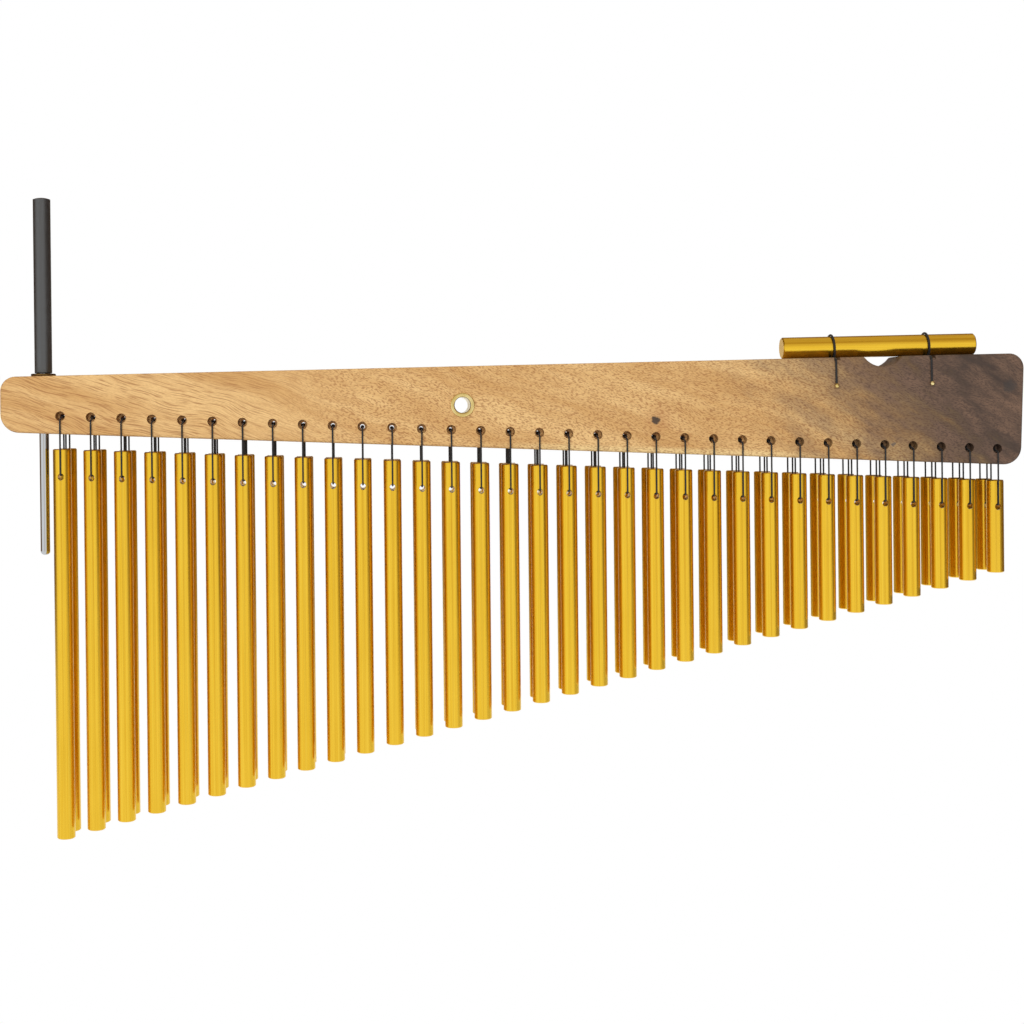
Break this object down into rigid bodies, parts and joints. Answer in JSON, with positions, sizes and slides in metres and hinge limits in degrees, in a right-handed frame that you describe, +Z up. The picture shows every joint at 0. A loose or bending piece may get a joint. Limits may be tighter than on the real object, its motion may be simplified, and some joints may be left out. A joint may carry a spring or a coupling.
{
  "type": "bar chimes",
  "caption": "Tapered wooden beam with two rows of graded gold metal bars hung on cord loops, a thick bar tied on top, a stored beater and a mounting eyelet.",
  "frame": {"origin": "centre of the mounting eyelet's bore, half way through the beam", "axes": "+X along the beam towards the short bars, +Y from the front face to the rear, +Z up with the bars hanging down"},
  "size_m": [0.5591, 0.032, 0.3437],
  "materials": {
    "wood": "oiled, light at the low end and dark at the tall end",
    "gold_aluminium": "gold anodised, polished",
    "cord": "black braided cord",
    "brass": "polished brass",
    "steel": "bright steel",
    "foam": "matt foam"
  },
  "bodies": {
    "frame": {"beam": "wood", "eyelet_front": "brass", "eyelet_rear": "brass", "beater_eyelet": "brass", "top_bar": "gold_aluminium", "top_bar_cord_left": "cord", "top_bar_cord_right": "cord", "cord_pins": "brass"},
    "beater": {"beater_rod": "steel", "beater_grip": "foam"},
    "bar_pair_01": {"bar_pair_01": "gold_aluminium"},
    "bar_pair_02": {"bar_pair_02": "gold_aluminium"},
    "bar_pair_03": {"bar_pair_03": "gold_aluminium"},
    "bar_pair_04": {"bar_pair_04": "gold_aluminium"},
    "bar_pair_05": {"bar_pair_05": "gold_aluminium"},
    "bar_pair_06": {"bar_pair_06": "gold_aluminium"},
    "bar_pair_07": {"bar_pair_07": "gold_aluminium"},
    "bar_pair_08": {"bar_pair_08": "gold_aluminium"},
    "bar_pair_09": {"bar_pair_09": "gold_aluminium"},
    "bar_pair_10": {"bar_pair_10": "gold_aluminium"},
    "bar_pair_11": {"bar_pair_11": "gold_aluminium"},
    "bar_pair_12": {"bar_pair_12": "gold_aluminium"},
    "bar_pair_13": {"bar_pair_13": "gold_aluminium"},
    "bar_pair_14": {"bar_pair_14": "gold_aluminium"},
    "bar_pair_15": {"bar_pair_15": "gold_aluminium"},
    "bar_pair_16": {"bar_pair_16": "gold_aluminium"},
    "bar_pair_17": {"bar_pair_17": "gold_aluminium"},
    "bar_pair_18": {"bar_pair_18": "gold_aluminium"},
    "bar_pair_19": {"bar_pair_19": "gold_aluminium"},
    "bar_pair_20": {"bar_pair_20": "gold_aluminium"},
    "bar_pair_21": {"bar_pair_21": "gold_aluminium"},
    "bar_pair_22": {"bar_pair_22": "gold_aluminium"},
    "bar_pair_23": {"bar_pair_23": "gold_aluminium"},
    "bar_pair_24": {"bar_pair_24": "gold_aluminium"},
    "bar_pair_25": {"bar_pair_25": "gold_aluminium"},
    "bar_pair_26": {"bar_pair_26": "gold_aluminium"},
    "bar_pair_27": {"bar_pair_27": "gold_aluminium"},
    "bar_pair_28": {"bar_pair_28": "gold_aluminium"},
    "bar_pair_29": {"bar_pair_29": "gold_aluminium"},
    "bar_pair_30": {"bar_pair_30": "gold_aluminium"},
    "bar_pair_31": {"bar_pair_31": "gold_aluminium"},
    "bar_pair_32": {"bar_pair_32": "gold_aluminium"},
    "bar_pair_33": {"bar_pair_33": "gold_aluminium"}
  },
  "joints": [
    {"name": "beater_pull", "type": "slide", "parent": "frame", "child": "beater", "axis": [0, 0, 1], "range_m": [0, 0.095]},
    {"name": "swing_01", "type": "hinge", "parent": "frame", "child": "bar_pair_01", "pos_m": [-0.2142, 0, -0.00386], "axis": [0, 1, 0], "range_deg": [-1.55, 1.55]},
    {"name": "swing_02", "type": "hinge", "parent": "frame", "child": "bar_pair_02", "pos_m": [-0.1982, 0, -0.00459], "axis": [0, 1, 0], "range_deg": [-1.58, 1.58]},
    {"name": "swing_03", "type": "hinge", "parent": "frame", "child": "bar_pair_03", "pos_m": [-0.1822, 0, -0.00532], "axis": [0, 1, 0], "range_deg": [-1.62, 1.62]},
    {"name": "swing_04", "type": "hinge", "parent": "frame", "child": "bar_pair_04", "pos_m": [-0.1662, 0, -0.00605], "axis": [0, 1, 0], "range_deg": [-1.65, 1.65]},
    {"name": "swing_05", "type": "hinge", "parent": "frame", "child": "bar_pair_05", "pos_m": [-0.1502, 0, -0.00678], "axis": [0, 1, 0], "range_deg": [-1.69, 1.69]},
    {"name": "swing_06", "type": "hinge", "parent": "frame", "child": "bar_pair_06", "pos_m": [-0.1342, 0, -0.00751], "axis": [0, 1, 0], "range_deg": [-1.73, 1.73]},
    {"name": "swing_07", "type": "hinge", "parent": "frame", "child": "bar_pair_07", "pos_m": [-0.1182, 0, -0.00824], "axis": [0, 1, 0], "range_deg": [-1.78, 1.78]},
    {"name": "swing_08", "type": "hinge", "parent": "frame", "child": "bar_pair_08", "pos_m": [-0.1022, 0, -0.00897], "axis": [0, 1, 0], "range_deg": [-1.82, 1.82]},
    {"name": "swing_09", "type": "hinge", "parent": "frame", "child": "bar_pair_09", "pos_m": [-0.0862, 0, -0.0097], "axis": [0, 1, 0], "range_deg": [-1.87, 1.87]},
    {"name": "swing_10", "type": "hinge", "parent": "frame", "child": "bar_pair_10", "pos_m": [-0.0702, 0, -0.01043], "axis": [0, 1, 0], "range_deg": [-1.92, 1.92]},
    {"name": "swing_11", "type": "hinge", "parent": "frame", "child": "bar_pair_11", "pos_m": [-0.0542, 0, -0.01116], "axis": [0, 1, 0], "range_deg": [-1.97, 1.97]},
    {"name": "swing_12", "type": "hinge", "parent": "frame", "child": "bar_pair_12", "pos_m": [-0.0382, 0, -0.01189], "axis": [0, 1, 0], "range_deg": [-2.03, 2.03]},
    {"name": "swing_13", "type": "hinge", "parent": "frame", "child": "bar_pair_13", "pos_m": [-0.0222, 0, -0.01261], "axis": [0, 1, 0], "range_deg": [-2.09, 2.09]},
    {"name": "swing_14", "type": "hinge", "parent": "frame", "child": "bar_pair_14", "pos_m": [-0.0062, 0, -0.01334], "axis": [0, 1, 0], "range_deg": [-2.15, 2.15]},
    {"name": "swing_15", "type": "hinge", "parent": "frame", "child": "bar_pair_15", "pos_m": [0.0098, 0, -0.01407], "axis": [0, 1, 0], "range_deg": [-2.22, 2.22]},
    {"name": "swing_16", "type": "hinge", "parent": "frame", "child": "bar_pair_16", "pos_m": [0.0258, 0, -0.0148], "axis": [0, 1, 0], "range_deg": [-2.29, 2.29]},
    {"name": "swing_17", "type": "hinge", "parent": "frame", "child": "bar_pair_17", "pos_m": [0.0418, 0, -0.01553], "axis": [0, 1, 0], "range_deg": [-2.37, 2.37]},
    {"name": "swing_18", "type": "hinge", "parent": "frame", "child": "bar_pair_18", "pos_m": [0.0578, 0, -0.01626], "axis": [0, 1, 0], "range_deg": [-2.45, 2.45]},
    {"name": "swing_19", "type": "hinge", "parent": "frame", "child": "bar_pair_19", "pos_m": [0.0738, 0, -0.01699], "axis": [0, 1, 0], "range_deg": [-2.54, 2.54]},
    {"name": "swing_20", "type": "hinge", "parent": "frame", "child": "bar_pair_20", "pos_m": [0.0898, 0, -0.01772], "axis": [0, 1, 0], "range_deg": [-2.63, 2.63]},
    {"name": "swing_21", "type": "hinge", "parent": "frame", "child": "bar_pair_21", "pos_m": [0.1058, 0, -0.01845], "axis": [0, 1, 0], "range_deg": [-2.73, 2.73]},
    {"name": "swing_22", "type": "hinge", "parent": "frame", "child": "bar_pair_22", "pos_m": [0.1218, 0, -0.01918], "axis": [0, 1, 0], "range_deg": [-2.84, 2.84]},
    {"name": "swing_23", "type": "hinge", "parent": "frame", "child": "bar_pair_23", "pos_m": [0.1378, 0, -0.01991], "axis": [0, 1, 0], "range_deg": [-2.96, 2.96]},
    {"name": "swing_24", "type": "hinge", "parent": "frame", "child": "bar_pair_24", "pos_m": [0.1538, 0, -0.02064], "axis": [0, 1, 0], "range_deg": [-3.09, 3.09]},
    {"name": "swing_25", "type": "hinge", "parent": "frame", "child": "bar_pair_25", "pos_m": [0.1698, 0, -0.02136], "axis": [0, 1, 0], "range_deg": [-3.23, 3.23]},
    {"name": "swing_26", "type": "hinge", "parent": "frame", "child": "bar_pair_26", "pos_m": [0.1858, 0, -0.02209], "axis": [0, 1, 0], "range_deg": [-3.38, 3.38]},
    {"name": "swing_27", "type": "hinge", "parent": "frame", "child": "bar_pair_27", "pos_m": [0.2018, 0, -0.02282], "axis": [0, 1, 0], "range_deg": [-3.55, 3.55]},
    {"name": "swing_28", "type": "hinge", "parent": "frame", "child": "bar_pair_28", "pos_m": [0.2178, 0, -0.02355], "axis": [0, 1, 0], "range_deg": [-3.73, 3.73]},
    {"name": "swing_29", "type": "hinge", "parent": "frame", "child": "bar_pair_29", "pos_m": [0.2338, 0, -0.02428], "axis": [0, 1, 0], "range_deg": [-3.94, 3.94]},
    {"name": "swing_30", "type": "hinge", "parent": "frame", "child": "bar_pair_30", "pos_m": [0.2498, 0, -0.02501], "axis": [0, 1, 0], "range_deg": [-4.17, 4.17]},
    {"name": "swing_31", "type": "hinge", "parent": "frame", "child": "bar_pair_31", "pos_m": [0.2658, 0, -0.02574], "axis": [0, 1, 0], "range_deg": [-4.43, 4.43]},
    {"name": "swing_32", "type": "hinge", "parent": "frame", "child": "bar_pair_32", "pos_m": [0.2818, 0, -0.02647], "axis": [0, 1, 0], "range_deg": [-4.72, 4.72]},
    {"name": "swing_33", "type": "hinge", "parent": "frame", "child": "bar_pair_33", "pos_m": [0.2978, 0, -0.0272], "axis": [0, 1, 0], "range_deg": [-5.06, 5.06]}
  ]
}
